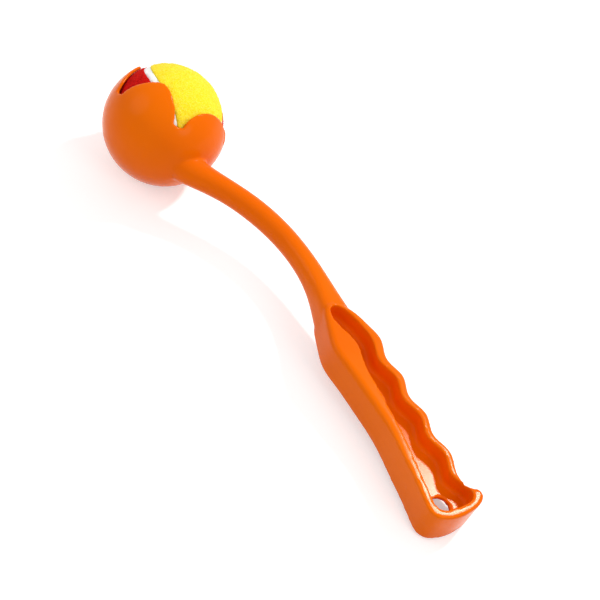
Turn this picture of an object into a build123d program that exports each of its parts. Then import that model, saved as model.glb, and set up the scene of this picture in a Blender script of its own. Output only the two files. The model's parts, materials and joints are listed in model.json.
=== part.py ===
from build123d import *
import os
from math import asin, atan2, cos, degrees, hypot, pi, radians, sin, sqrt, tan

# A hand-held ball thrower: a five-petalled cup on a curved arm, a grip with finger grooves, and the ball in the
# cup. Millimetres and degrees. The model is built about the cup's centre with X from the cup to the grip's end,
# Y to the finger side and Z square to the grip, and is then laid down the way it comes to rest on a floor.

# Ball
BALL_R = 32.5
FELT = 3.0
CORE_WALL = 3.3
SEAM_WIDTH = 4.0
SEAM_SUNK = 0.5
SEAM_LOBE = 0.25
SEAM_STEPS = 48
SEAM_TURNS = (3.2, 90.9, 202.8)

# Cup: a spherical bowl whose opening is turned out of the grip's plane
CUP_WALL = 1.8
CUP_CLEARANCE = 1.7
CUP_R = BALL_R + CUP_CLEARANCE + CUP_WALL
BALL_LIFT_SHARE = 1.470588
OPEN_TURN = 129.2
OPEN_LIFT = 49.5
PETALS = 5
PETAL_TURN = 19.8
PETAL_FOOT = 5.5
NOTCH_LATITUDE = 8.0
NOTCH_R = 2.9
TIP_LATITUDE = 37.3
PETAL_SPREAD = 31.0
PETAL_POWER = 1.45
PETAL_STEPS = 16
PETAL_EDGE = 0.5

# Arm: a bar of oval section along a curve, as shares of its reach from the cup's centre and of its rise
ARM_REACH = 166.0
ARM_RISE = 34.9
ARM_WIDTH = 13.0
ARM_DEPTH = 15.0
ARM_LINE_SHARES = (
    (0.187, -0.066),
    (0.271, 0.195),
    (0.343, 0.453),
    (0.422, 0.665),
    (0.482, 0.797),
    (0.554, 0.900),
    (0.614, 0.963),
    (0.675, 0.994),
    (0.735, 1.000),
    (0.801, 0.986),
    (0.873, 0.940),
    (1.000, 0.890),
)

# Each row: place along the arm's line, width and depth as shares of the arm's own, squareness of the section
ARM_SECTION_SHARES = (
    (0.00, 1.50, 1.34, 2.0),
    (0.07, 1.22, 1.14, 2.0),
    (0.16, 1.04, 1.02, 2.0),
    (0.30, 1.00, 1.00, 2.0),
    (0.50, 1.00, 1.00, 2.0),
    (0.62, 1.00, 1.00, 2.1),
    (0.74, 1.06, 1.10, 2.4),
    (0.84, 1.22, 1.32, 3.0),
    (0.92, 1.40, 1.46, 3.8),
    (1.00, 1.48, 1.46, 4.0),
)
SECTION_STEPS = 20

# Grip: a prism with a recess in each face, as shares of its length and of its width
ARM_INTO_GRIP = 24.0
ARM_OVER_GRIP = 14.061
ARM_CUT = 1.0
GRIP_X = ARM_REACH - ARM_INTO_GRIP
GRIP_Y = ARM_RISE * ARM_LINE_SHARES[-1][1] - ARM_OVER_GRIP
GRIP_LENGTH = 142.2
GRIP_WIDTH = 34.0
GRIP_DEPTH = 22.5
GRIP_EDGE = 3.0
WEB = 2.6
RECESS_FOOT = 2.5
NOSE_BEND_SHARE = 0.37
RECESS_BEND_SHARE = 0.32
GROOVES = 4
GROOVE_START_SHARE = 0.2391
GROOVE_PITCH_SHARE = 0.172996
GROOVE_DEPTH = 3.2
GROOVE_MEAN_SHARE = 0.83
RIM_AT_ARM = 6.4
RIM_AT_END = 3.6
NOSE_TO_FINGER_SHARES = ((0.028, 0.397), (0.063, 0.609), (0.109, 0.726), (0.170, 0.815))
FINGER_TO_END_SHARES = ((0.893, 0.822), (0.921, 0.950), (0.950, 0.994), (0.974, 0.915), (0.993, 0.700))
END_TO_PALM_SHARES = ((1.000, 0.485), (0.993, 0.238), (0.974, 0.077), (0.944, 0.012), (0.905, 0.014))
PALM_SHARES = (
    (0.838, 0.053),
    (0.717, 0.097),
    (0.584, 0.129),
    (0.443, 0.088),
    (0.302, 0.030),
    (0.218, 0.000),
    (0.148, 0.068),
    (0.084, 0.156),
    (0.042, 0.247),
)
RECESS_NOSE_SHARES = ((0.052, 0.341), (0.052, 0.441), (0.068, 0.510), (0.110, 0.594), (0.165, 0.660))
RECESS_END_SHARES = (
    (0.876, 0.741),
    (0.908, 0.830),
    (0.936, 0.842),
    (0.956, 0.770),
    (0.964, 0.600),
    (0.966, 0.440),
    (0.960, 0.270),
    (0.940, 0.166),
    (0.910, 0.155),
)
RECESS_PALM_SHARES = (
    (0.860, 0.180),
    (0.778, 0.222),
    (0.692, 0.270),
    (0.606, 0.300),
    (0.510, 0.315),
    (0.414, 0.321),
    (0.338, 0.330),
    (0.282, 0.376),
    (0.232, 0.412),
    (0.190, 0.376),
    (0.148, 0.310),
    (0.106, 0.268),
    (0.070, 0.285),
)
HOLE_SHARE = (0.917722, 0.382353)
HOLE_R = 5.75

# Rest: the cup and the finger-side corner of the grip's end lie on the floor, with the grip rolled a little
REST_ROLL = 3.5
REST_CORNER_SHARE = (0.953, 0.912)


def scaled(shares, start, size):
    return [(start[0] + x * size[0], start[1] + y * size[1]) for x, y in shares]


def half_space(height, side):
    """A block that fills one side of a level plane, wider than the whole cup."""
    block = 4 * CUP_R
    return Pos(0, 0, height + side * block / 2) * Box(block, block, block)


def ball_shell(outer, inner):
    return Sphere(outer) - Sphere(inner)


# The cup's opening points along its own Z

cup_place = Rot(Z=OPEN_TURN) * Rot(Y=90 - OPEN_LIFT)


def make_bowl():
    """The spherical shell below the petals, with a round dip at each notch."""
    dip_height = CUP_R * sin(radians(NOTCH_LATITUDE)) + NOTCH_R
    bowl = ball_shell(CUP_R, CUP_R - CUP_WALL) - half_space(PETAL_FOOT, 1)
    for k in range(PETALS):
        turn = PETAL_TURN + (k + 0.5) * 360 / PETALS
        bowl -= Rot(Z=turn) * Pos(CUP_R, 0, dip_height) * Rot(Y=90) * Cylinder(NOTCH_R, CUP_R)
    return bowl


def petal_outline(distance):
    """A petal's outline as seen from the cup's centre, on an upright plane at the given distance."""
    points = []
    for k in range(PETAL_STEPS + 1):
        t = pi * k / PETAL_STEPS
        lean = abs(cos(t)) ** (2 / PETAL_POWER) * (1 if cos(t) >= 0 else -1)
        longitude = radians(PETAL_SPREAD) * lean
        rise = abs(sin(t)) ** (2 / PETAL_POWER)
        latitude = radians(NOTCH_LATITUDE + (TIP_LATITUDE - NOTCH_LATITUDE) * rise)
        points.append((distance * tan(longitude), distance * tan(latitude) / cos(longitude)))
    side = points[0][0]
    edge = Spline(*points)
    foot = Polyline(points[-1], (-side, 0), (side, 0), points[0])
    upright = Plane(origin=(distance, 0, 0), x_dir=(0, 1, 0), z_dir=(1, 0, 0))
    return upright * make_face(edge + foot)


def make_petal(index):
    """The part of the shell inside the cone over the outline, above the bowl's rim."""
    cone = loft([petal_outline(CUP_R / 2), petal_outline(2 * CUP_R)], ruled=True)
    petal = ball_shell(CUP_R, CUP_R - CUP_WALL) & cone & half_space(PETAL_FOOT, 1)
    edges = petal.edges().filter_by(GeomType.BSPLINE).sort_by(SortBy.LENGTH)[-2:]
    return Rot(Z=PETAL_TURN + index * 360 / PETALS) * fillet(edges, PETAL_EDGE)


# The ball is two glued half shells under two felt panels, with a raised seam between the panels

ball_middle = cup_place * Pos(0, 0, BALL_LIFT_SHARE * CUP_CLEARANCE)
ball_place = Pos(*ball_middle.position)
seam_place = ball_place * Rot(Z=SEAM_TURNS[0]) * Rot(Y=SEAM_TURNS[1]) * Rot(Z=SEAM_TURNS[2])


def seam_edge(radius, side):
    """One edge of the seam, a closed curve at the radius, half the seam's width to one side of its middle."""
    lobe = SEAM_LOBE
    rise = 2 * sqrt(lobe * (1 - lobe))
    lean = side * SEAM_WIDTH / 2 / BALL_R
    points = []
    for k in range(SEAM_STEPS):
        t = 2 * pi * k / SEAM_STEPS
        middle = Vector(
            (1 - lobe) * cos(t) + lobe * cos(3 * t),
            (1 - lobe) * sin(t) - lobe * sin(3 * t),
            rise * sin(2 * t),
        )
        along = Vector(
            -(1 - lobe) * sin(t) - 3 * lobe * sin(3 * t),
            (1 - lobe) * cos(t) - 3 * lobe * cos(3 * t),
            2 * rise * cos(2 * t),
        )
        across = middle.cross(along.normalized())
        points.append((middle * cos(lean) + across * sin(lean)) * radius)
    return Spline(*points, periodic=True)


def make_seam_band(low, high):
    """A closed band along the seam, with faces that point to the ball's centre."""
    corners = [seam_edge(low, -1), seam_edge(low, 1), seam_edge(high, 1), seam_edge(high, -1)]
    faces = [Face.make_surface_from_curves(corners[k - 1], corners[k]) for k in range(4)]
    return Solid(Shell(faces))


# Arm and grip are one bar, cut apart afterwards

def make_arm_bar():
    points = scaled(ARM_LINE_SHARES, (0, 0), (ARM_REACH, ARM_RISE))
    line = Spline(*points)
    sections = []
    for place, width, depth, squareness in ARM_SECTION_SHARES:
        ring = []
        for k in range(SECTION_STEPS):
            t = 2 * pi * k / SECTION_STEPS
            across = abs(cos(t)) ** (2 / squareness) * (1 if cos(t) >= 0 else -1)
            up = abs(sin(t)) ** (2 / squareness) * (1 if sin(t) >= 0 else -1)
            ring.append((across * width * ARM_WIDTH / 2, up * depth * ARM_DEPTH / 2))
        along = line % place
        section = Plane(origin=line @ place, x_dir=(-along.Y, along.X, 0), z_dir=along)
        sections.append(section * make_face(Spline(*ring, periodic=True)))
    return loft(sections) - Sphere(CUP_R)


def tightest_bend(share):
    """The bend of an outline at its nose, as an ellipse has it, which limits a fillet along it."""
    return share * GRIP_WIDTH * GRIP_WIDTH / GRIP_LENGTH


def finger_side(inset_at_arm, inset_at_end):
    """Crests and valleys of the finger grooves, from the arm to the end, inset by a rim's thickness."""
    points = []
    steps = 2 * GROOVES
    for k in range(steps):
        inset = inset_at_arm + (inset_at_end - inset_at_arm) * k / (steps - 1)
        wave = GROOVE_DEPTH / 2 * (1 if k % 2 == 0 else -1)
        place_share = GROOVE_START_SHARE + k * GROOVE_PITCH_SHARE / 2
        mean = GRIP_Y + GRIP_WIDTH * GROOVE_MEAN_SHARE
        points.append((GRIP_X + GRIP_LENGTH * place_share, mean + wave - inset))
    return points


def grip_face(before, inset_at_arm, inset_at_end, *after):
    """A closed outline through the points before the grooves, the grooves and the points after them."""
    start, size = (GRIP_X, GRIP_Y), (GRIP_LENGTH, GRIP_WIDTH)
    points = scaled(before, start, size) + finger_side(inset_at_arm, inset_at_end)
    for shares in after:
        points += scaled(shares, start, size)
    return make_face(Spline(*points, periodic=True))


def make_grip_prism():
    face = grip_face(
        NOSE_TO_FINGER_SHARES, 0, 0, FINGER_TO_END_SHARES, END_TO_PALM_SHARES, PALM_SHARES
    )
    prism = extrude(face, amount=GRIP_DEPTH / 2, both=True)
    rims = prism.edges().filter_by(GeomType.BSPLINE)
    rims = [edge for edge in rims if abs(edge.center().Z) > WEB]
    return fillet(rims, min(GRIP_EDGE, tightest_bend(NOSE_BEND_SHARE)))


def make_recess(side):
    """The hollow in one face of the grip, down to the web, with a rounded foot."""
    face = grip_face(RECESS_NOSE_SHARES, RIM_AT_ARM, RIM_AT_END, RECESS_END_SHARES, RECESS_PALM_SHARES)
    depth = (GRIP_DEPTH - WEB) / 2
    hollow = Pos(0, 0, WEB / 2) * extrude(face, amount=2 * depth)
    foot = hollow.edges().sort_by(Axis.Z)[0]
    hollow = fillet(foot, min(RECESS_FOOT, tightest_bend(RECESS_BEND_SHARE)))
    return hollow if side > 0 else mirror(hollow, about=Plane.XY)


def make_bar():
    bar = make_grip_prism() + make_arm_bar()
    for side in (1, -1):
        bar -= make_recess(side)
    (hole,) = scaled([HOLE_SHARE], (GRIP_X, GRIP_Y), (GRIP_LENGTH, GRIP_WIDTH))
    return bar - Pos(*hole, 0) * Cylinder(HOLE_R, GRIP_DEPTH)


def rest_turn():
    """The turn that lays the model on the floor, on the sphere of the cup and one rounded corner of the grip."""
    (corner,) = scaled([REST_CORNER_SHARE], (GRIP_X, GRIP_Y), (GRIP_LENGTH, GRIP_WIDTH))
    roll = radians(REST_ROLL)
    drop = corner[1] * sin(roll) + (GRIP_DEPTH / 2 - GRIP_EDGE) * cos(roll)
    pitch = asin((CUP_R - GRIP_EDGE) / hypot(corner[0], drop)) - atan2(drop, corner[0])
    return Rot(Y=degrees(pitch)) * Rot(X=-REST_ROLL)


def make_nodes():
    bar = make_bar()
    reach = 4 * GRIP_X
    arm_side = Pos(GRIP_X + ARM_CUT - reach / 2, 0, 0) * Box(reach, reach, reach)
    felt = ball_shell(BALL_R, BALL_R - FELT)
    band = make_seam_band(BALL_R - 2 * FELT, BALL_R + FELT)
    panels = (felt - band).solids()
    core = ball_shell(BALL_R - FELT, BALL_R - FELT - CORE_WALL)
    nodes = {"cup": cup_place * make_bowl(), "arm": bar & arm_side, "handle": bar - arm_side}
    for k in range(PETALS):
        nodes[f"petal_{k + 1}"] = cup_place * make_petal(k)
    nodes["ball_core_upper"] = seam_place * (core & half_space(0, 1))
    nodes["ball_core_lower"] = seam_place * (core & half_space(0, -1))
    nodes["ball_seam"] = seam_place * (ball_shell(BALL_R - SEAM_SUNK, BALL_R - FELT) & band)
    nodes["felt_panel_yellow"] = seam_place * panels[0]
    nodes["felt_panel_red"] = seam_place * panels[1]
    return nodes


def rest_place(nodes):
    """The turn to rest, and then the shift that puts the origin under the middle of the whole at floor level."""
    turn = rest_turn()
    box = Compound([turn * shape for shape in nodes.values()]).bounding_box()
    return Pos(-box.center().X, -box.center().Y, -box.min.Z) * turn


def main():
    nodes = make_nodes()
    place = rest_place(nodes)
    os.makedirs("parts", exist_ok=True)
    for name, shape in nodes.items():
        export_step(place * shape, f"parts/{name}.step")


main()
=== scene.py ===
# %% [markdown]
# The thrower is one glossy plastic moulding: a cup of five springy petals, a curved arm and a grip.
# A felt ball sits in the cup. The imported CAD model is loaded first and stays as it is, because every
# piece made here is placed by it, in metres.

# %% Load the frame
import json
from math import atan2, cos, pi, radians, sin

import bmesh
import bpy
from mathutils import Matrix, Quaternion, Vector, noise


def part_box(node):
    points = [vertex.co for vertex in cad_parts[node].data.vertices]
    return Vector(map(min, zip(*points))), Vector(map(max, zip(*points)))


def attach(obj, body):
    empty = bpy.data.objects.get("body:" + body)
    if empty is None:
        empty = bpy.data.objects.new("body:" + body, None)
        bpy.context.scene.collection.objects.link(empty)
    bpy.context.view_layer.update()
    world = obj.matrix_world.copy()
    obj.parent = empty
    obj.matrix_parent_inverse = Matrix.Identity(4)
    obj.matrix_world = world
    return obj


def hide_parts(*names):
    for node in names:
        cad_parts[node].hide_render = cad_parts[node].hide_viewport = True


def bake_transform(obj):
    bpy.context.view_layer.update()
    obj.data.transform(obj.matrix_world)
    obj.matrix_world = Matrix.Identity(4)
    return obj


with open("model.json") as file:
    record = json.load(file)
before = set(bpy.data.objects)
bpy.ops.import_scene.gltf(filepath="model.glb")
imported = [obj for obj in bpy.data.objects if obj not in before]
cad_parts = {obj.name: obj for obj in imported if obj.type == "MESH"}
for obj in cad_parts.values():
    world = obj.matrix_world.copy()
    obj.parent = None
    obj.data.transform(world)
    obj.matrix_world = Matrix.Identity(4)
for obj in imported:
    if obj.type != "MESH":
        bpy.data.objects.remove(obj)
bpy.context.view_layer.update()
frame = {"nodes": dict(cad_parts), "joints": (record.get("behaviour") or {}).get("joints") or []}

nodes = frame["nodes"]
joints = {joint["name"]: joint for joint in frame["joints"]}
print("nodes", sorted(nodes))

# %% [markdown]
# The camera comes before the pieces. The photograph is a long-lens view from above the palm side of the
# grip, a little rolled, so the camera is a place, a point that it looks at, and a roll about its own line
# of sight. A 90 mm lens on a 36 mm sensor gives the mild perspective of the photograph.

# %% Camera
CAMERA_PLACE = Vector((0.40024, -0.35908, 0.64268))
CAMERA_AIM = Vector((0.00716, 0.01502, 0.020))
CAMERA_ROLL = radians(19.06)
LENS_MM = 90
SENSOR_MM = 36
NEAREST, FARTHEST = 0.01, 20.0


def add_object(name, data):
    """A new object in the scene, at the origin."""
    made = bpy.data.objects.new(name, data)
    bpy.context.scene.collection.objects.link(made)
    return made


camera_data = bpy.data.cameras.new("camera")
camera_data.lens = LENS_MM
camera_data.sensor_width = SENSOR_MM
camera_data.clip_start = NEAREST
camera_data.clip_end = FARTHEST
camera = add_object("camera", camera_data)
sight = (CAMERA_AIM - CAMERA_PLACE).normalized()
camera.location = CAMERA_PLACE
camera.rotation_mode = "QUATERNION"
camera.rotation_quaternion = Quaternion(-sight, CAMERA_ROLL) @ sight.to_track_quat("-Z", "Y")
bpy.context.scene.camera = camera
print("camera to aim in mm", round((CAMERA_AIM - CAMERA_PLACE).length * 1000))

# %% [markdown]
# Pieces start as copies of the CAD meshes. A CAD mesh is a heap of loose triangles, so a copy has its
# doubled corners merged before anything else is done to it. Modifiers are easy to try out, but the table
# of pieces wants plain meshes, so a second helper turns a piece's modifiers into its mesh.

# %% Helpers: a merged copy, and modifiers made into the mesh
MERGE = 0.00002


def joined_copy(name, node_names):
    """A new object that holds merged copies of the CAD nodes' meshes."""
    whole = bmesh.new()
    for node_name in node_names:
        whole.from_mesh(nodes[node_name].data)
    bmesh.ops.remove_doubles(whole, verts=whole.verts, dist=MERGE)
    mesh = bpy.data.meshes.new(name)
    whole.to_mesh(mesh)
    whole.free()
    return add_object(name, mesh)


def apply_modifiers(piece):
    """Puts what the modifiers make into the piece's mesh, and takes the modifiers off."""
    seen = piece.evaluated_get(bpy.context.evaluated_depsgraph_get())
    made = bpy.data.meshes.new_from_object(seen)
    plain = piece.data
    piece.modifiers.clear()
    piece.data = made
    bpy.data.meshes.remove(plain)


# %% [markdown]
# The real thrower comes out of one mould: no joint shows between cup, arm and grip, and every edge is a
# little round. Bevels could round the edges one by one, but the CAD mesh has long thin triangles that bevel
# badly. So all its solids are joined in one copy, which is reshaped a little and then gets one new skin.

# %% Copy of the whole moulding
PETALS = range(1, 6)
SKIN_NODES = ["cup", "arm", "handle"] + [f"petal_{k}" for k in PETALS]

skin = joined_copy("skin", SKIN_NODES)
print("merged points", len(skin.data.vertices))

# %% [markdown]
# The CAD's five petals are equal superellipses on the cup's sphere. The photograph shows them a little
# uneven: a tall one in front that leans, a lower and rounder one beside the arm, and after it one that stays
# hidden behind the ball. Each point of a petal is slid over the sphere, so that the petal's outline gets its
# own height, fullness and lean. The petal's foot, its wall and its distance from the ball stay as they are.

# %% Petals with their own outlines
CUP_MIDDLE = Vector((-0.124162, -0.007628, 0.036))
CUP_RADIUS = 0.036
CUP_WALL = 0.0018
SHELL_MARGIN = 0.0003
CAD_SPREAD, CAD_NOTCH, CAD_TIP, CAD_FULLNESS = radians(31.0), radians(8.0), radians(37.3), 1.45
PETAL_SHAPES = {
    1: {"tip": radians(36.0), "fullness": 1.6, "lean": radians(0.0)},
    2: {"tip": radians(40.0), "fullness": 1.4, "lean": radians(0.0)},
    3: {"tip": radians(39.2), "fullness": 1.6, "lean": radians(2.2)},
    4: {"tip": radians(32.8), "fullness": 2.0, "lean": radians(-1.0)},
    5: {"tip": radians(23.0), "fullness": 1.8, "lean": radians(0.0)},
}

opening = Vector(joints["ball_release"]["axis"]).normalized()
petal_sides = {}
for k in PETALS:
    from_middle = Vector(joints[f"petal_{k}_flex"]["pos_m"]) - CUP_MIDDLE
    petal_sides[k] = (from_middle - opening * from_middle.dot(opening)).normalized()


def reach(angle, fullness):
    """How far a superellipse of unit half axes reaches in a direction."""
    return (abs(cos(angle)) ** fullness + abs(sin(angle)) ** fullness) ** (-1 / fullness)


def reshaped(place):
    """Where a point of a petal goes on the cup's sphere."""
    spoke = place - CUP_MIDDLE
    radius = spoke.length
    latitude = pi / 2 - spoke.angle(opening)
    in_shell = -SHELL_MARGIN < CUP_RADIUS - radius < CUP_WALL + SHELL_MARGIN
    if latitude <= CAD_NOTCH or not in_shell:
        return place
    k = max(petal_sides, key=lambda number: petal_sides[number].dot(spoke))
    shape, side = PETAL_SHAPES[k], petal_sides[k]
    along = opening.cross(side)
    across = atan2(spoke.dot(along), spoke.dot(side)) / CAD_SPREAD
    rise = (latitude - CAD_NOTCH) / (CAD_TIP - CAD_NOTCH)
    angle = atan2(rise, abs(across))
    grown = reach(angle, shape["fullness"]) / reach(angle, CAD_FULLNESS)
    longitude = across * grown * CAD_SPREAD + shape["lean"] * rise * grown
    latitude = CAD_NOTCH + (shape["tip"] - CAD_NOTCH) * rise * grown
    level = side * cos(longitude) + along * sin(longitude)
    return CUP_MIDDLE + radius * (level * cos(latitude) + opening * sin(latitude))


moved = 0
for vert in skin.data.vertices:
    new_place = reshaped(vert.co)
    moved += (new_place - vert.co).length > MERGE
    vert.co = new_place
print("petal points moved", moved)

# %% [markdown]
# Towards its end the grip's outer edge gets squarer, so the rim there is a flat band that catches the light.
# The edge is found in the grip's own directions as it lies at rest: along it, across it, and square to both.
# On a rounded edge a point's normal says where on the rounding it lies. The point moves out along it until
# the quarter circle has become a quarter of a superellipse: nothing moves at the rounding's two ends, and
# halfway the point moves most, out towards the corner. Only edges that face away from the grip's middle line
# move, so the edge of the recess stays as it is.

# %% Squarer edge at the grip's end
GRIP_SQUARE = Vector((0.078657, 0.061049, 0.995031))
GRIP_ALONG = Vector((0.99689, 0.0, -0.078804))
GRIP_ACROSS = Vector((-0.004811, 0.998135, -0.060859))
GRIP_HALF_DEPTH = 0.01125
GRIP_MIDDLE_ACROSS = 0.034
EDGE_ROUND = 0.003
EDGE_REGION = 1.2 * EDGE_ROUND
EDGE_FULLNESS = 16.0
SQUARE_FROM, SQUARE_TO, END_MIDDLE = 0.205, 0.250, 0.262
FACING_OUT = 0.3
ALMOST_NOTHING = 0.001


def eased(amount, low, high):
    """0 below low, 1 above high, and a smooth step between."""
    share = min(1, max(0, (amount - low) / (high - low)))
    return share * share * (3 - 2 * share)


def squarer(place, normal):
    """Where a point of the skin goes. Only the grip's rounded outer edge moves."""
    spoke = place - CUP_MIDDLE
    along, height = spoke.dot(GRIP_ALONG), spoke.dot(GRIP_SQUARE)
    if along < SQUARE_FROM or abs(height) < GRIP_HALF_DEPTH - EDGE_REGION:
        return place
    middle = GRIP_ALONG * min(along, END_MIDDLE) + GRIP_ACROSS * GRIP_MIDDLE_ACROSS + GRIP_SQUARE * height
    level = normal - GRIP_SQUARE * normal.dot(GRIP_SQUARE)
    flat, steep = level.length, abs(normal.dot(GRIP_SQUARE))
    outer_side = eased(level.dot((spoke - middle).normalized()), 0.0, FACING_OUT * flat + ALMOST_NOTHING)
    outwards = EDGE_ROUND * (reach(atan2(steep, flat), EDGE_FULLNESS) - 1)
    return place + normal * outwards * outer_side * eased(along, SQUARE_FROM, SQUARE_TO)


normals = [vert.normal.copy() for vert in skin.data.vertices]
squared = 0
for vert, normal in zip(skin.data.vertices, normals):
    new_place = squarer(vert.co, normal)
    squared += (new_place - vert.co).length > MERGE
    vert.co = new_place
skin.data.update()
print("edge points moved", squared)

# %% [markdown]
# A voxel remesh wraps one even skin round all the touching solids. Smoothing then evens out the small steps
# that the remesh leaves, and rounds the edges. It also eats thin parts away: a petal 1.8 mm thick would lose
# a millimetre of its tip. So some passes with a negative factor follow. They grow back the large shapes that
# the first passes shrank, and the small steps stay gone.

# %% One skin for the moulding
SKIN_VOXEL = 0.0008
SMOOTH_FACTOR = 0.5
SMOOTH_PASSES = 9
REGROW_PASSES = 8


def add_remesh(piece, title, voxel):
    """A modifier that wraps the piece in faces of the voxel's size."""
    wrap = piece.modifiers.new(title, "REMESH")
    wrap.mode = "VOXEL"
    wrap.voxel_size = voxel


def add_smoothing(piece, title, factor, passes):
    """A modifier that moves each point towards its neighbours' middle, or away from it."""
    smoothing = piece.modifiers.new(title, "SMOOTH")
    smoothing.factor = factor
    smoothing.iterations = passes


add_remesh(skin, "one skin", SKIN_VOXEL)
add_smoothing(skin, "rounded edges", SMOOTH_FACTOR, SMOOTH_PASSES)
add_smoothing(skin, "size kept", -SMOOTH_FACTOR, REGROW_PASSES)
apply_modifiers(skin)
print("skin faces", len(skin.data.polygons))

# %% [markdown]
# The petals bend when the ball goes in or out, so they have to be pieces of their own. The skin is cut once,
# on the level of the petals' feet, which lies square to the way the ball leaves the cup. Each point keeps
# the normal that it has on the whole skin: cut edges would shade a little differently from each side, and
# the seam would show in the gloss.

# %% Cut the skin at the petals' feet
foot = Vector(joints["petal_1_flex"]["pos_m"])
ON_CUT = 0.000002

whole = bmesh.new()
whole.from_mesh(skin.data)
everything = whole.verts[:] + whole.edges[:] + whole.faces[:]
bmesh.ops.bisect_plane(whole, geom=everything, dist=ON_CUT, plane_co=foot, plane_no=opening)
whole.normal_update()
whole_normal = whole.verts.layers.float_vector.new("whole_normal")
for vert in whole.verts:
    vert[whole_normal] = vert.normal
print("skin points after the cut", len(whole.verts))


# %% Helper: take some of the skin and close its cut
def skin_piece(name, kept):
    """A new object from the skin's points for which kept is true, with its cut closed by flat caps."""
    part = whole.copy()
    normal_layer = part.verts.layers.float_vector["whole_normal"]
    part.verts.ensure_lookup_table()
    gone = [part.verts[k] for k in range(len(kept)) if not kept[k]]
    bmesh.ops.delete(part, geom=gone, context="VERTS")
    rims = [edge for edge in part.edges if edge.is_boundary]
    caps = set(bmesh.ops.holes_fill(part, edges=rims, sides=0)["faces"])
    for edge in rims:
        edge.smooth = False
    part.normal_update()
    normals = []
    for face in part.faces:
        face.smooth = face not in caps
        for corner in face.verts:
            normals.append(face.normal.copy() if face in caps else Vector(corner[normal_layer]))
    mesh = bpy.data.meshes.new(name)
    part.to_mesh(mesh)
    part.free()
    mesh.attributes.remove(mesh.attributes["whole_normal"])
    mesh.normals_split_custom_set(normals)
    print(name, "faces", len(mesh.polygons), "caps", len(caps))
    return add_object(name, mesh)


# %% [markdown]
# Everything below the cut is the cup, arm and grip. Above it the notches part the skin into five loose
# petals, and each belongs to the CAD petal that it is nearest to.

# %% The moulding and its five petals
heights = [(vert.co - foot).dot(opening) for vert in whole.verts]
moulding = skin_piece("moulding", [height < ON_CUT for height in heights])
petal_middles = {k: sum(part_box(f"petal_{k}"), Vector()) / 2 for k in PETALS}


def nearest_petal(place):
    """The number of the CAD petal whose middle is nearest to a place."""
    return min(PETALS, key=lambda k: (petal_middles[k] - place).length)


whole.verts.ensure_lookup_table()
petal_of = [None] * len(whole.verts)
for start in whole.verts:
    if heights[start.index] < -ON_CUT or petal_of[start.index]:
        continue
    island, to_do = {start}, [start]
    while to_do:
        for edge in to_do.pop().link_edges:
            for end in edge.verts:
                if end not in island and heights[end.index] > -ON_CUT:
                    island.add(end)
                    to_do.append(end)
    middle = sum((vert.co for vert in island), Vector()) / len(island)
    for vert in island:
        petal_of[vert.index] = nearest_petal(middle)
petals = {k: skin_piece(f"petal_{k}_skin", [number == k for number in petal_of]) for k in PETALS}
whole.free()
bpy.data.objects.remove(skin)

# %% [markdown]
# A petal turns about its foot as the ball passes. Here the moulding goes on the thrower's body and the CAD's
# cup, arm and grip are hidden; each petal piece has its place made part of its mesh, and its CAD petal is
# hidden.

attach(moulding, "thrower")
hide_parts("cup", "arm", "handle")
for k, petal in petals.items():
    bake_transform(petal)
    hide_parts(f"petal_{k}")

# %% [markdown]
# Felt on a ball is a fluffy sheet: thick, soft at its edges and lumpy where it has been handled. The copy is
# remeshed finely, and its outer points then move in and out by two sizes of noise, one for the lumps and one
# for the nap. A ball can lie any way round in its cup: the felt and the seam are turned about the ball's
# middle by a few degrees, so that the seam runs where the photograph has it.

# %% Felt panels with lumps and nap
FELT_VOXEL = 0.0006
FELT_PASSES = 5
LUMP_SIZE, LUMP_HEIGHT = 0.0034, 0.00030
NAP_SIZE, NAP_HEIGHT = 0.0011, 0.00022

CORES = ("ball_core_upper", "ball_core_lower")
BALL_TURN_AXIS, BALL_TURN_ANGLE = (0.0058, -0.9309, -0.3652), radians(6.35)

core_lows, core_highs = zip(*(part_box(name) for name in CORES))
ball_middle = (Vector(map(min, *core_lows)) + Vector(map(max, *core_highs))) / 2
ball_turn = Quaternion(BALL_TURN_AXIS, BALL_TURN_ANGLE).to_matrix().to_4x4()
turn_in_cup = Matrix.Translation(ball_middle) @ ball_turn @ Matrix.Translation(-ball_middle)
print("ball middle in mm", [round(c * 1000, 2) for c in ball_middle])


def felt_panel(colour):
    """A remeshed copy of one panel, with its outer face lumpy."""
    panel = joined_copy(f"felt_{colour}", [f"felt_panel_{colour}"])
    panel.data.transform(turn_in_cup)
    add_remesh(panel, "even felt", FELT_VOXEL)
    add_smoothing(panel, "soft edges", SMOOTH_FACTOR, FELT_PASSES)
    apply_modifiers(panel)
    smooth_normals = [vert.normal.copy() for vert in panel.data.vertices]
    for vert, normal in zip(panel.data.vertices, smooth_normals):
        outwards = (vert.co - ball_middle).normalized()
        if normal.dot(outwards) > 0:
            lump = noise.noise(vert.co / LUMP_SIZE) * LUMP_HEIGHT
            nap = noise.noise(vert.co / NAP_SIZE) * NAP_HEIGHT
            vert.co += outwards * (lump + nap)
    panel.data.shade_smooth()
    panel.data.update()
    print(panel.name, "faces", len(panel.data.polygons))
    return panel


felts = {colour: felt_panel(colour) for colour in ("yellow", "red")}

# %% [markdown]
# Trees of nodes need sums, in geometry and in materials alike. A helper adds one Math node whose inputs are
# numbers or the outputs of other nodes, so that a sum reads almost as it would on paper.

# %% Helper: sums in a tree
def add_maths(tree, kind, *values):
    """A Math node with these inputs, and its output."""
    step = tree.nodes.new("ShaderNodeMath")
    step.operation = kind
    for socket, value in zip(step.inputs, values):
        if isinstance(value, (int, float)):
            socket.default_value = value
        else:
            tree.links.new(value, socket)
    return step.outputs[0]


# %% [markdown]
# Loose fibres stand out of the felt. They repeat thousands of times over a curved surface, which is work for
# Geometry Nodes. The tree is built in three steps. First, points are spread over the faces that look away
# from the ball's middle, so that none grows on the felt's glued side.

# %% First step: points on the felt's outer face
FACING_AWAY = 0.3


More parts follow.
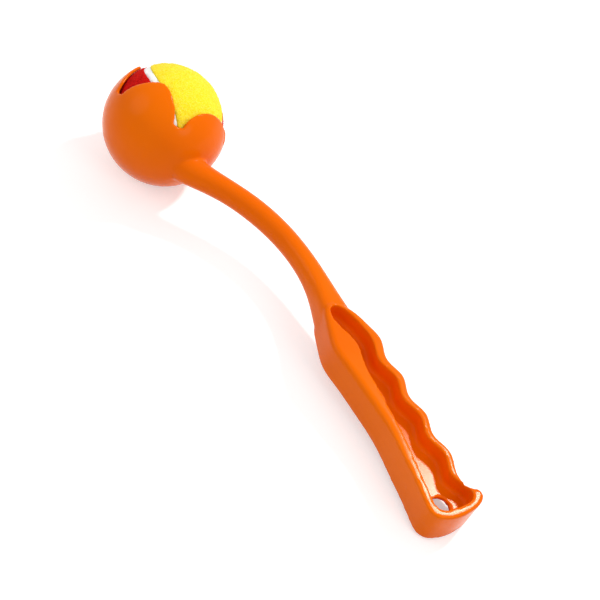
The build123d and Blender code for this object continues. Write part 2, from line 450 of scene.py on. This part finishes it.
def outer_points(tree, given):
    """A node that spreads points by chance over the outer faces of the felt."""
    make, link = tree.nodes.new, tree.links.new
    place, normal = make("GeometryNodeInputPosition"), make("GeometryNodeInputNormal")
    away = make("ShaderNodeVectorMath")
    away.operation = "SUBTRACT"
    link(place.outputs[0], away.inputs[0])
    link(given.outputs["Ball middle"], away.inputs[1])
    unit = make("ShaderNodeVectorMath")
    unit.operation = "NORMALIZE"
    link(away.outputs[0], unit.inputs[0])
    facing = make("ShaderNodeVectorMath")
    facing.operation = "DOT_PRODUCT"
    link(unit.outputs[0], facing.inputs[0])
    link(normal.outputs[0], facing.inputs[1])
    outer = make("FunctionNodeCompare")
    outer.data_type = "FLOAT"
    outer.operation = "GREATER_THAN"
    link(facing.outputs["Value"], outer.inputs["A"])
    outer.inputs["B"].default_value = FACING_AWAY
    spread = make("GeometryNodeDistributePointsOnFaces")
    link(given.outputs["Geometry"], spread.inputs["Mesh"])
    link(outer.outputs["Result"], spread.inputs["Selection"])
    link(given.outputs["Fibres per square metre"], spread.inputs["Density"])
    link(given.outputs["Seed"], spread.inputs["Seed"])
    return spread


# %% [markdown]
# The second step makes one fibre. A grid of three faces in a row is stood up on its foot, narrowed towards
# its tip and bent over, the more the higher a point lies.

# %% Second step: one bent fibre
FIBRE_FACES = 3
FIBRE_TAPER = 0.8
FIBRE_LEAN = 0.45


def bent_fibre(tree, given):
    """The mesh of one fibre that stands on its foot, narrows and leans over."""
    make, link = tree.nodes.new, tree.links.new
    length = given.outputs["Fibre length"]
    strip = make("GeometryNodeMeshGrid")
    link(given.outputs["Fibre width"], strip.inputs["Size X"])
    link(length, strip.inputs["Size Y"])
    strip.inputs["Vertices X"].default_value = 2
    strip.inputs["Vertices Y"].default_value = FIBRE_FACES + 1
    parts = make("ShaderNodeSeparateXYZ")
    link(make("GeometryNodeInputPosition").outputs[0], parts.inputs[0])
    along = add_maths(tree, "ADD", add_maths(tree, "DIVIDE", parts.outputs["Y"], length), 0.5)
    narrow = add_maths(tree, "SUBTRACT", 1.0, add_maths(tree, "MULTIPLY", along, FIBRE_TAPER))
    squared = add_maths(tree, "MULTIPLY", along, along)
    lean = add_maths(tree, "MULTIPLY", squared, add_maths(tree, "MULTIPLY", length, FIBRE_LEAN))
    bent = make("ShaderNodeCombineXYZ")
    link(add_maths(tree, "MULTIPLY", parts.outputs["X"], narrow), bent.inputs["X"])
    link(lean, bent.inputs["Y"])
    link(add_maths(tree, "MULTIPLY", along, length), bent.inputs["Z"])
    stand = make("GeometryNodeSetPosition")
    link(strip.outputs["Mesh"], stand.inputs["Geometry"])
    link(bent.outputs[0], stand.inputs["Position"])
    return stand.outputs["Geometry"]


# %% [markdown]
# The third step sets a fibre on each point, tipped, spun and sized by chance. The tree ends in real mesh
# with its material, because instances are lost when the model is exported.

# %% Third step: the whole tree
FIBRE_TIPPED = 1.1
FIBRE_SIZES = (0.45, 1.0)
FIBRE_INPUTS = {
    "Geometry": "NodeSocketGeometry",
    "Fibre length": "NodeSocketFloat",
    "Fibre width": "NodeSocketFloat",
    "Fibres per square metre": "NodeSocketFloat",
    "Ball middle": "NodeSocketVector",
    "Seed": "NodeSocketInt",
    "Material": "NodeSocketMaterial",
}


def fibre_tree():
    """A node group: felt mesh in, its fibres out."""
    tree = bpy.data.node_groups.new("felt fibres", "GeometryNodeTree")
    for title, kind in FIBRE_INPUTS.items():
        tree.interface.new_socket(title, in_out="INPUT", socket_type=kind)
    tree.interface.new_socket("Geometry", in_out="OUTPUT", socket_type="NodeSocketGeometry")
    make, link = tree.nodes.new, tree.links.new
    given, result = make("NodeGroupInput"), make("NodeGroupOutput")
    spread = outer_points(tree, given)
    tip = make("FunctionNodeRandomValue")
    tip.data_type = "FLOAT_VECTOR"
    tip.inputs["Min"].default_value = (-FIBRE_TIPPED, -FIBRE_TIPPED, -pi)
    tip.inputs["Max"].default_value = (FIBRE_TIPPED, FIBRE_TIPPED, pi)
    link(given.outputs["Seed"], tip.inputs["Seed"])
    as_turn = make("FunctionNodeEulerToRotation")
    link(tip.outputs["Value"], as_turn.inputs[0])
    turned = make("FunctionNodeRotateRotation")
    turned.rotation_space = "LOCAL"
    link(spread.outputs["Rotation"], turned.inputs["Rotation"])
    link(as_turn.outputs[0], turned.inputs["Rotate By"])
    size = make("FunctionNodeRandomValue")
    size.data_type = "FLOAT"
    size.inputs[2].default_value, size.inputs[3].default_value = FIBRE_SIZES
    link(given.outputs["Seed"], size.inputs["Seed"])
    planted = make("GeometryNodeInstanceOnPoints")
    link(spread.outputs["Points"], planted.inputs["Points"])
    link(bent_fibre(tree, given), planted.inputs["Instance"])
    link(turned.outputs[0], planted.inputs["Rotation"])
    link(size.outputs[1], planted.inputs["Scale"])
    real = make("GeometryNodeRealizeInstances")
    link(planted.outputs["Instances"], real.inputs["Geometry"])
    painted = make("GeometryNodeSetMaterial")
    link(real.outputs["Geometry"], painted.inputs["Geometry"])
    link(given.outputs["Material"], painted.inputs["Material"])
    link(painted.outputs["Geometry"], result.inputs["Geometry"])
    return tree


fibres_on = fibre_tree()
socket_of = {item.name: item.identifier for item in fibres_on.interface.items_tree if item.in_out == "INPUT"}
print("fibre inputs", sorted(socket_of))

# %% [markdown]
# A material here is a principled shader with small procedural patterns on it. Patterns read Object
# coordinates, which are metres because every piece sits at the origin, so a noise of scale 500 has lumps of
# about two millimetres. These helpers keep the materials short.

# %% Helpers for materials
def new_material(name):
    """A material with its tree, its shader and the place of each point on the piece."""
    made = bpy.data.materials.new(name)
    made.use_nodes = True
    made.node_tree.nodes.clear()
    shader = made.node_tree.nodes.new("ShaderNodeBsdfPrincipled")
    output = made.node_tree.nodes.new("ShaderNodeOutputMaterial")
    made.node_tree.links.new(shader.outputs["BSDF"], output.inputs["Surface"])
    place = made.node_tree.nodes.new("ShaderNodeTexCoord").outputs["Object"]
    return made, made.node_tree, shader, place


def add_noise(tree, place, scale, detail=2.0, stretch=(1, 1, 1)):
    """Soft lumps from 0 to 1. A stretch larger than 1 makes them shorter that way."""
    turned = tree.nodes.new("ShaderNodeMapping")
    turned.inputs["Scale"].default_value = stretch
    tree.links.new(place, turned.inputs["Vector"])
    made = tree.nodes.new("ShaderNodeTexNoise")
    made.inputs["Scale"].default_value = scale
    made.inputs["Detail"].default_value = detail
    tree.links.new(turned.outputs["Vector"], made.inputs["Vector"])
    return made.outputs["Fac"]


def add_colours(tree, amount, positions, colours):
    """An amount from 0 to 1 as a colour. Each position has its colour, and they mix in between."""
    ramp = tree.nodes.new("ShaderNodeValToRGB")
    band = ramp.color_ramp
    while len(band.elements) < len(colours):
        band.elements.new(0.5)
    for element, position, colour in zip(band.elements, positions, colours):
        element.position = position
        element.color = (*colour, 1)
    tree.links.new(amount, ramp.inputs["Fac"])
    return ramp.outputs["Color"]


def add_range(tree, amount, low, high):
    """An amount from 0 to 1 as a number between low and high."""
    made = tree.nodes.new("ShaderNodeMapRange")
    made.inputs["To Min"].default_value = low
    made.inputs["To Max"].default_value = high
    tree.links.new(amount, made.inputs["Value"])
    return made.outputs["Result"]


def add_bump(tree, height, distance, strength=1.0, under=None):
    """Relief as high as the distance in metres, on top of the bump under it."""
    made = tree.nodes.new("ShaderNodeBump")
    made.inputs["Distance"].default_value = distance
    made.inputs["Strength"].default_value = strength
    tree.links.new(height, made.inputs["Height"])
    if under is not None:
        tree.links.new(under, made.inputs["Normal"])
    return made.outputs["Normal"]


# %% [markdown]
# The plastic is a saturated orange with a soft gloss. Its skin has the faint orange peel of a mould, hair
# scratches from handling, and a gloss that is a little uneven. The two halves of the mould also leave a thin
# raised line round the arm and grip, on the grip's middle plane.

# %% Colour and gloss of the orange plastic
CLOUD_SCALE = 14.0
CLOUD_POSITIONS = (0.35, 0.65)
ORANGES = (0.80, 0.128, 0.0), (0.85, 0.150, 0.0)
PATCH_SCALE, PATCH_DETAIL = 70.0, 4.0
PLASTIC_ROUGHNESS = (0.125, 0.195)
PLASTIC_IOR = 1.49
PLASTIC_GLOSS = 0.08
PLASTIC_GLOSS_TINT = (1.0, 0.8, 0.65, 1)

orange, tree, shader, place = new_material("orange plastic")
cloud = add_noise(tree, place, CLOUD_SCALE)
tree.links.new(add_colours(tree, cloud, CLOUD_POSITIONS, ORANGES), shader.inputs["Base Color"])
patches = add_noise(tree, place, PATCH_SCALE, PATCH_DETAIL)
tree.links.new(add_range(tree, patches, *PLASTIC_ROUGHNESS), shader.inputs["Roughness"])
shader.inputs["IOR"].default_value = PLASTIC_IOR
shader.inputs["Specular IOR Level"].default_value = PLASTIC_GLOSS
shader.inputs["Specular Tint"].default_value = PLASTIC_GLOSS_TINT
moulding.data.materials.append(orange)
for petal in petals.values():
    petal.data.materials.append(orange)
print("orange plastic roughness", PLASTIC_ROUGHNESS)

# %% [markdown]
# The mould's line lies where a point's distance from the grip's middle plane is almost nothing, and only
# past the cup. Three bumps are chained, each on top of the one before: the peel, the scratches and the line.

# %% Fine relief of the orange plastic
LINE_HALF_WIDTH = 0.00012
LINE_HEIGHT, LINE_STRENGTH = 0.00006, 0.8
PEEL_SCALE = 420.0
PEEL_HEIGHT, PEEL_STRENGTH = 0.000014, 0.4
SCRATCH_SCALE, SCRATCH_DETAIL, SCRATCH_STRETCH = 260.0, 3.0, (1, 12, 9)
SCRATCH_HEIGHT, SCRATCH_STRENGTH = 0.00001, 0.3


def plane_distance(tree, place, direction):
    """How far a point lies from the cup's middle, along a direction."""
    made = tree.nodes.new("ShaderNodeVectorMath")
    made.operation = "DOT_PRODUCT"
    made.inputs[1].default_value = direction
    tree.links.new(place, made.inputs[0])
    return add_maths(tree, "SUBTRACT", made.outputs["Value"], CUP_MIDDLE.dot(direction))


in_plane = add_maths(tree, "COMPARE", plane_distance(tree, place, GRIP_SQUARE), 0.0, LINE_HALF_WIDTH)
past_cup = add_maths(tree, "GREATER_THAN", plane_distance(tree, place, GRIP_ALONG), CUP_RADIUS)
line = add_maths(tree, "MULTIPLY", in_plane, past_cup)
peel = add_bump(tree, add_noise(tree, place, PEEL_SCALE), PEEL_HEIGHT, PEEL_STRENGTH)
scratches = add_noise(tree, place, SCRATCH_SCALE, SCRATCH_DETAIL, SCRATCH_STRETCH)
scratched = add_bump(tree, scratches, SCRATCH_HEIGHT, SCRATCH_STRENGTH, peel)
relief = add_bump(tree, line, LINE_HEIGHT, LINE_STRENGTH, scratched)
tree.links.new(relief, shader.inputs["Normal"])
print("orange plastic nodes", len(tree.nodes))

# %% [markdown]
# Felt scatters light from thousands of fibre tips, so it has a bright rim when seen at a slant. Sheen gives
# that. The colour changes from fibre to fibre, which a very fine noise stands for. The same noise also makes
# the fine bumps, and a coarser one makes tufts. The loose fibres use the same material as their felt.

# %% Felt
FELT_COLOURS = {
    "yellow": ((0.88, 0.63, 0.0), (0.95, 0.75, 0.02), (0.98, 0.83, 0.13)),
    "red": ((0.30, 0.001, 0.001), (0.62, 0.004, 0.003), (0.80, 0.012, 0.007)),
}
FELT_SHEEN = {"yellow": (1.0, 0.95, 0.5, 1), "red": (1.0, 0.12, 0.08, 1)}
FELT_SHEEN_WEIGHT = {"yellow": 0.25, "red": 0.12}
FELT_SHEEN_ROUGHNESS = 0.45
FELT_ROUGHNESS = 0.95
FELT_GLOSS = 0.08
STRAND_SCALE, STRAND_DETAIL = 1500.0, 3.0
STRAND_HEIGHT, STRAND_STRENGTH = 0.0002, 0.9
STRAND_POSITIONS = (0.28, 0.5, 0.72)
TUFT_SCALE = 420.0
TUFT_HEIGHT, TUFT_STRENGTH = 0.00035, 0.8


def felt_material(colour):
    """The material of one colour's felt and fibres."""
    made, tree, shader, place = new_material(f"{colour} felt")
    strands = add_noise(tree, place, STRAND_SCALE, STRAND_DETAIL)
    painted = add_colours(tree, strands, STRAND_POSITIONS, FELT_COLOURS[colour])
    tree.links.new(painted, shader.inputs["Base Color"])
    tufts = add_bump(tree, add_noise(tree, place, TUFT_SCALE), TUFT_HEIGHT, TUFT_STRENGTH)
    relief = add_bump(tree, strands, STRAND_HEIGHT, STRAND_STRENGTH, tufts)
    tree.links.new(relief, shader.inputs["Normal"])
    shader.inputs["Roughness"].default_value = FELT_ROUGHNESS
    shader.inputs["Specular IOR Level"].default_value = FELT_GLOSS
    shader.inputs["Sheen Weight"].default_value = FELT_SHEEN_WEIGHT[colour]
    shader.inputs["Sheen Roughness"].default_value = FELT_SHEEN_ROUGHNESS
    shader.inputs["Sheen Tint"].default_value = FELT_SHEEN[colour]
    return made


# %% [markdown]
# The fibres are grown on each panel's finished mesh by the tree above. Its inputs are set by their sockets'
# identifiers before the first evaluation.

# %% Fibres on both panels
FIBRE_LENGTH = 0.0013
FIBRE_WIDTH = 0.00011
FIBRES_PER_M2 = 1.3e6
FIBRE_SEED = 11

for colour, panel in felts.items():
    cloth = felt_material(colour)
    panel.data.materials.append(cloth)
    fibres = add_object(f"fibres_{colour}", panel.data.copy())
    growing = fibres.modifiers.new("fibres", "NODES")
    growing.node_group = fibres_on
    growing[socket_of["Fibre length"]] = FIBRE_LENGTH
    growing[socket_of["Fibre width"]] = FIBRE_WIDTH
    growing[socket_of["Fibres per square metre"]] = FIBRES_PER_M2
    growing[socket_of["Ball middle"]] = ball_middle
    growing[socket_of["Seed"]] = FIBRE_SEED
    growing[socket_of["Material"]] = cloth
    apply_modifiers(fibres)
    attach(panel, "ball")
    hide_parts(f"felt_panel_{colour}")
    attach(fibres, "ball")
    print(fibres.name, "faces", len(fibres.data.polygons))

# %% [markdown]
# The seam is a bead of white rubber, chalky and slightly grained. It is a copy of the CAD's, turned with the
# felt. The core under the felt is dark rubber with moulding dimples. Its two halves are right as the CAD has
# them, so they only get their material, which is set on the object and not on the CAD's mesh.

# %% Rubber seam and core
MOTTLE_DETAIL = 4.0
MOTTLE_POSITIONS = (0.3, 0.7)
RUBBER_ROUGHNESS = (0.55, 0.8)
DIMPLE_STRENGTH = 0.6


def rubber_material(name, colours, grain, depth):
    """Rubber between two shades, with grains and dimples."""
    made, tree, shader, place = new_material(name)
    mottle = add_noise(tree, place, grain, MOTTLE_DETAIL)
    painted = add_colours(tree, mottle, MOTTLE_POSITIONS, colours)
    tree.links.new(painted, shader.inputs["Base Color"])
    tree.links.new(add_range(tree, mottle, *RUBBER_ROUGHNESS), shader.inputs["Roughness"])
    dimples = add_bump(tree, add_noise(tree, place, 2 * grain), depth, DIMPLE_STRENGTH)
    tree.links.new(dimples, shader.inputs["Normal"])
    return made


SEAM_SHARP = radians(35)
SEAM_WHITES = (0.84, 0.84, 0.81), (0.95, 0.95, 0.93)
CORE_GREYS = (0.03, 0.03, 0.03), (0.07, 0.07, 0.065)
SEAM_GRAIN, SEAM_GRAIN_DEPTH = 900.0, 0.0001
CORE_GRAIN, CORE_GRAIN_DEPTH = 300.0, 0.0002

seam = joined_copy("seam", ["ball_seam"])
seam.data.transform(turn_in_cup)
seam.data.shade_smooth()
seam.data.set_sharp_from_angle(angle=SEAM_SHARP)
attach(seam, "ball")
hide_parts("ball_seam")

white_rubber = rubber_material("white seam rubber", SEAM_WHITES, SEAM_GRAIN, SEAM_GRAIN_DEPTH)
core_rubber = rubber_material("core rubber", CORE_GREYS, CORE_GRAIN, CORE_GRAIN_DEPTH)
seam.data.materials.append(white_rubber)
for node_name in CORES:
    slots = nodes[node_name].material_slots
    for slot in slots:
        slot.link = "OBJECT"
        slot.material = core_rubber
    print(node_name, "slots", len(slots))

# %% [markdown]
# The studio is a white sweep in soft light. The floor is pale and takes the object's shadow. To the camera,
# and in reflections, it also glows a little, which lifts it to the photograph's white without more light on
# the object. The world does the same round it.

# %% Floor and world
FLOOR_HALF = 2.5
FLOOR_SQUARES = 8
FLOOR_GREY = (0.82, 0.82, 0.82, 1)
FLOOR_ROUGHNESS = 0.9
FLOOR_LIFT = 0.42
WHITE = (1, 1, 1, 1)
WORLD_LIGHT = 0.62


def seen_directly(tree):
    """1 for rays that come from the camera, a reflection or through glass, and 0 for light's own rays."""
    path = tree.nodes.new("ShaderNodeLightPath")
    direct = path.outputs["Is Camera Ray"]
    for name in ("Is Glossy Ray", "Is Transmission Ray"):
        direct = add_maths(tree, "MAXIMUM", direct, path.outputs[name])
    return direct


floor_mesh = bpy.data.meshes.new("floor")
sheet = bmesh.new()
bmesh.ops.create_grid(sheet, x_segments=FLOOR_SQUARES, y_segments=FLOOR_SQUARES, size=FLOOR_HALF)
sheet.to_mesh(floor_mesh)
sheet.free()
floor = add_object("floor", floor_mesh)
pale, tree, shader, place = new_material("pale floor")
shader.inputs["Base Color"].default_value = FLOOR_GREY
shader.inputs["Roughness"].default_value = FLOOR_ROUGHNESS
shader.inputs["Specular IOR Level"].default_value = 0.0
shader.inputs["Emission Color"].default_value = WHITE
tree.links.new(add_range(tree, seen_directly(tree), 0.0, FLOOR_LIFT), shader.inputs["Emission Strength"])
floor_mesh.materials.append(pale)

world = bpy.data.worlds.new("white studio")
bpy.context.scene.world = world
world.use_nodes = True
background = world.node_tree.nodes["Background"]
background.inputs["Color"].default_value = WHITE
strength = add_range(world.node_tree, seen_directly(world.node_tree), WORLD_LIGHT, 1.0)
world.node_tree.links.new(strength, background.inputs["Strength"])
bpy.context.scene.view_settings.view_transform = "Standard"
print("world light", WORLD_LIGHT, "floor lift", FLOOR_LIFT)

# %% [markdown]
# Three soft lamps model the form. The key hangs beyond the end of the grip, and the fill is wide and weak on
# the palm side. The smallest gives the most light. It hangs where level faces mirror it to the camera, and so
# it puts the gleam on the web and on the rim at the grip's end. A lamp's power is worked out from the
# brightness that it should give a white surface that faces it.

# %% Soft lamps
def soft_lamp(name, place, size, brightness):
    """A round lamp at a place, turned towards the object."""
    data = bpy.data.lights.new(name, "AREA")
    data.shape = "DISK"
    data.size = size
    from_object = Vector(place)
    data.energy = brightness * pi**2 * from_object.length_squared
    lamp = add_object(name, data)
    lamp.location = from_object
    lamp.rotation_mode = "QUATERNION"
    lamp.rotation_quaternion = (-from_object).to_track_quat("-Z", "Y")
    print(name, "watts", round(data.energy, 1))


soft_lamp("key", place=(1.25, 0.25, 0.95), size=0.7, brightness=0.16)
soft_lamp("fill", place=(-0.7, -1.1, 1.0), size=1.0, brightness=0.15)
soft_lamp("gleam", place=(-0.10, 0.745, 0.955), size=0.13, brightness=0.56)
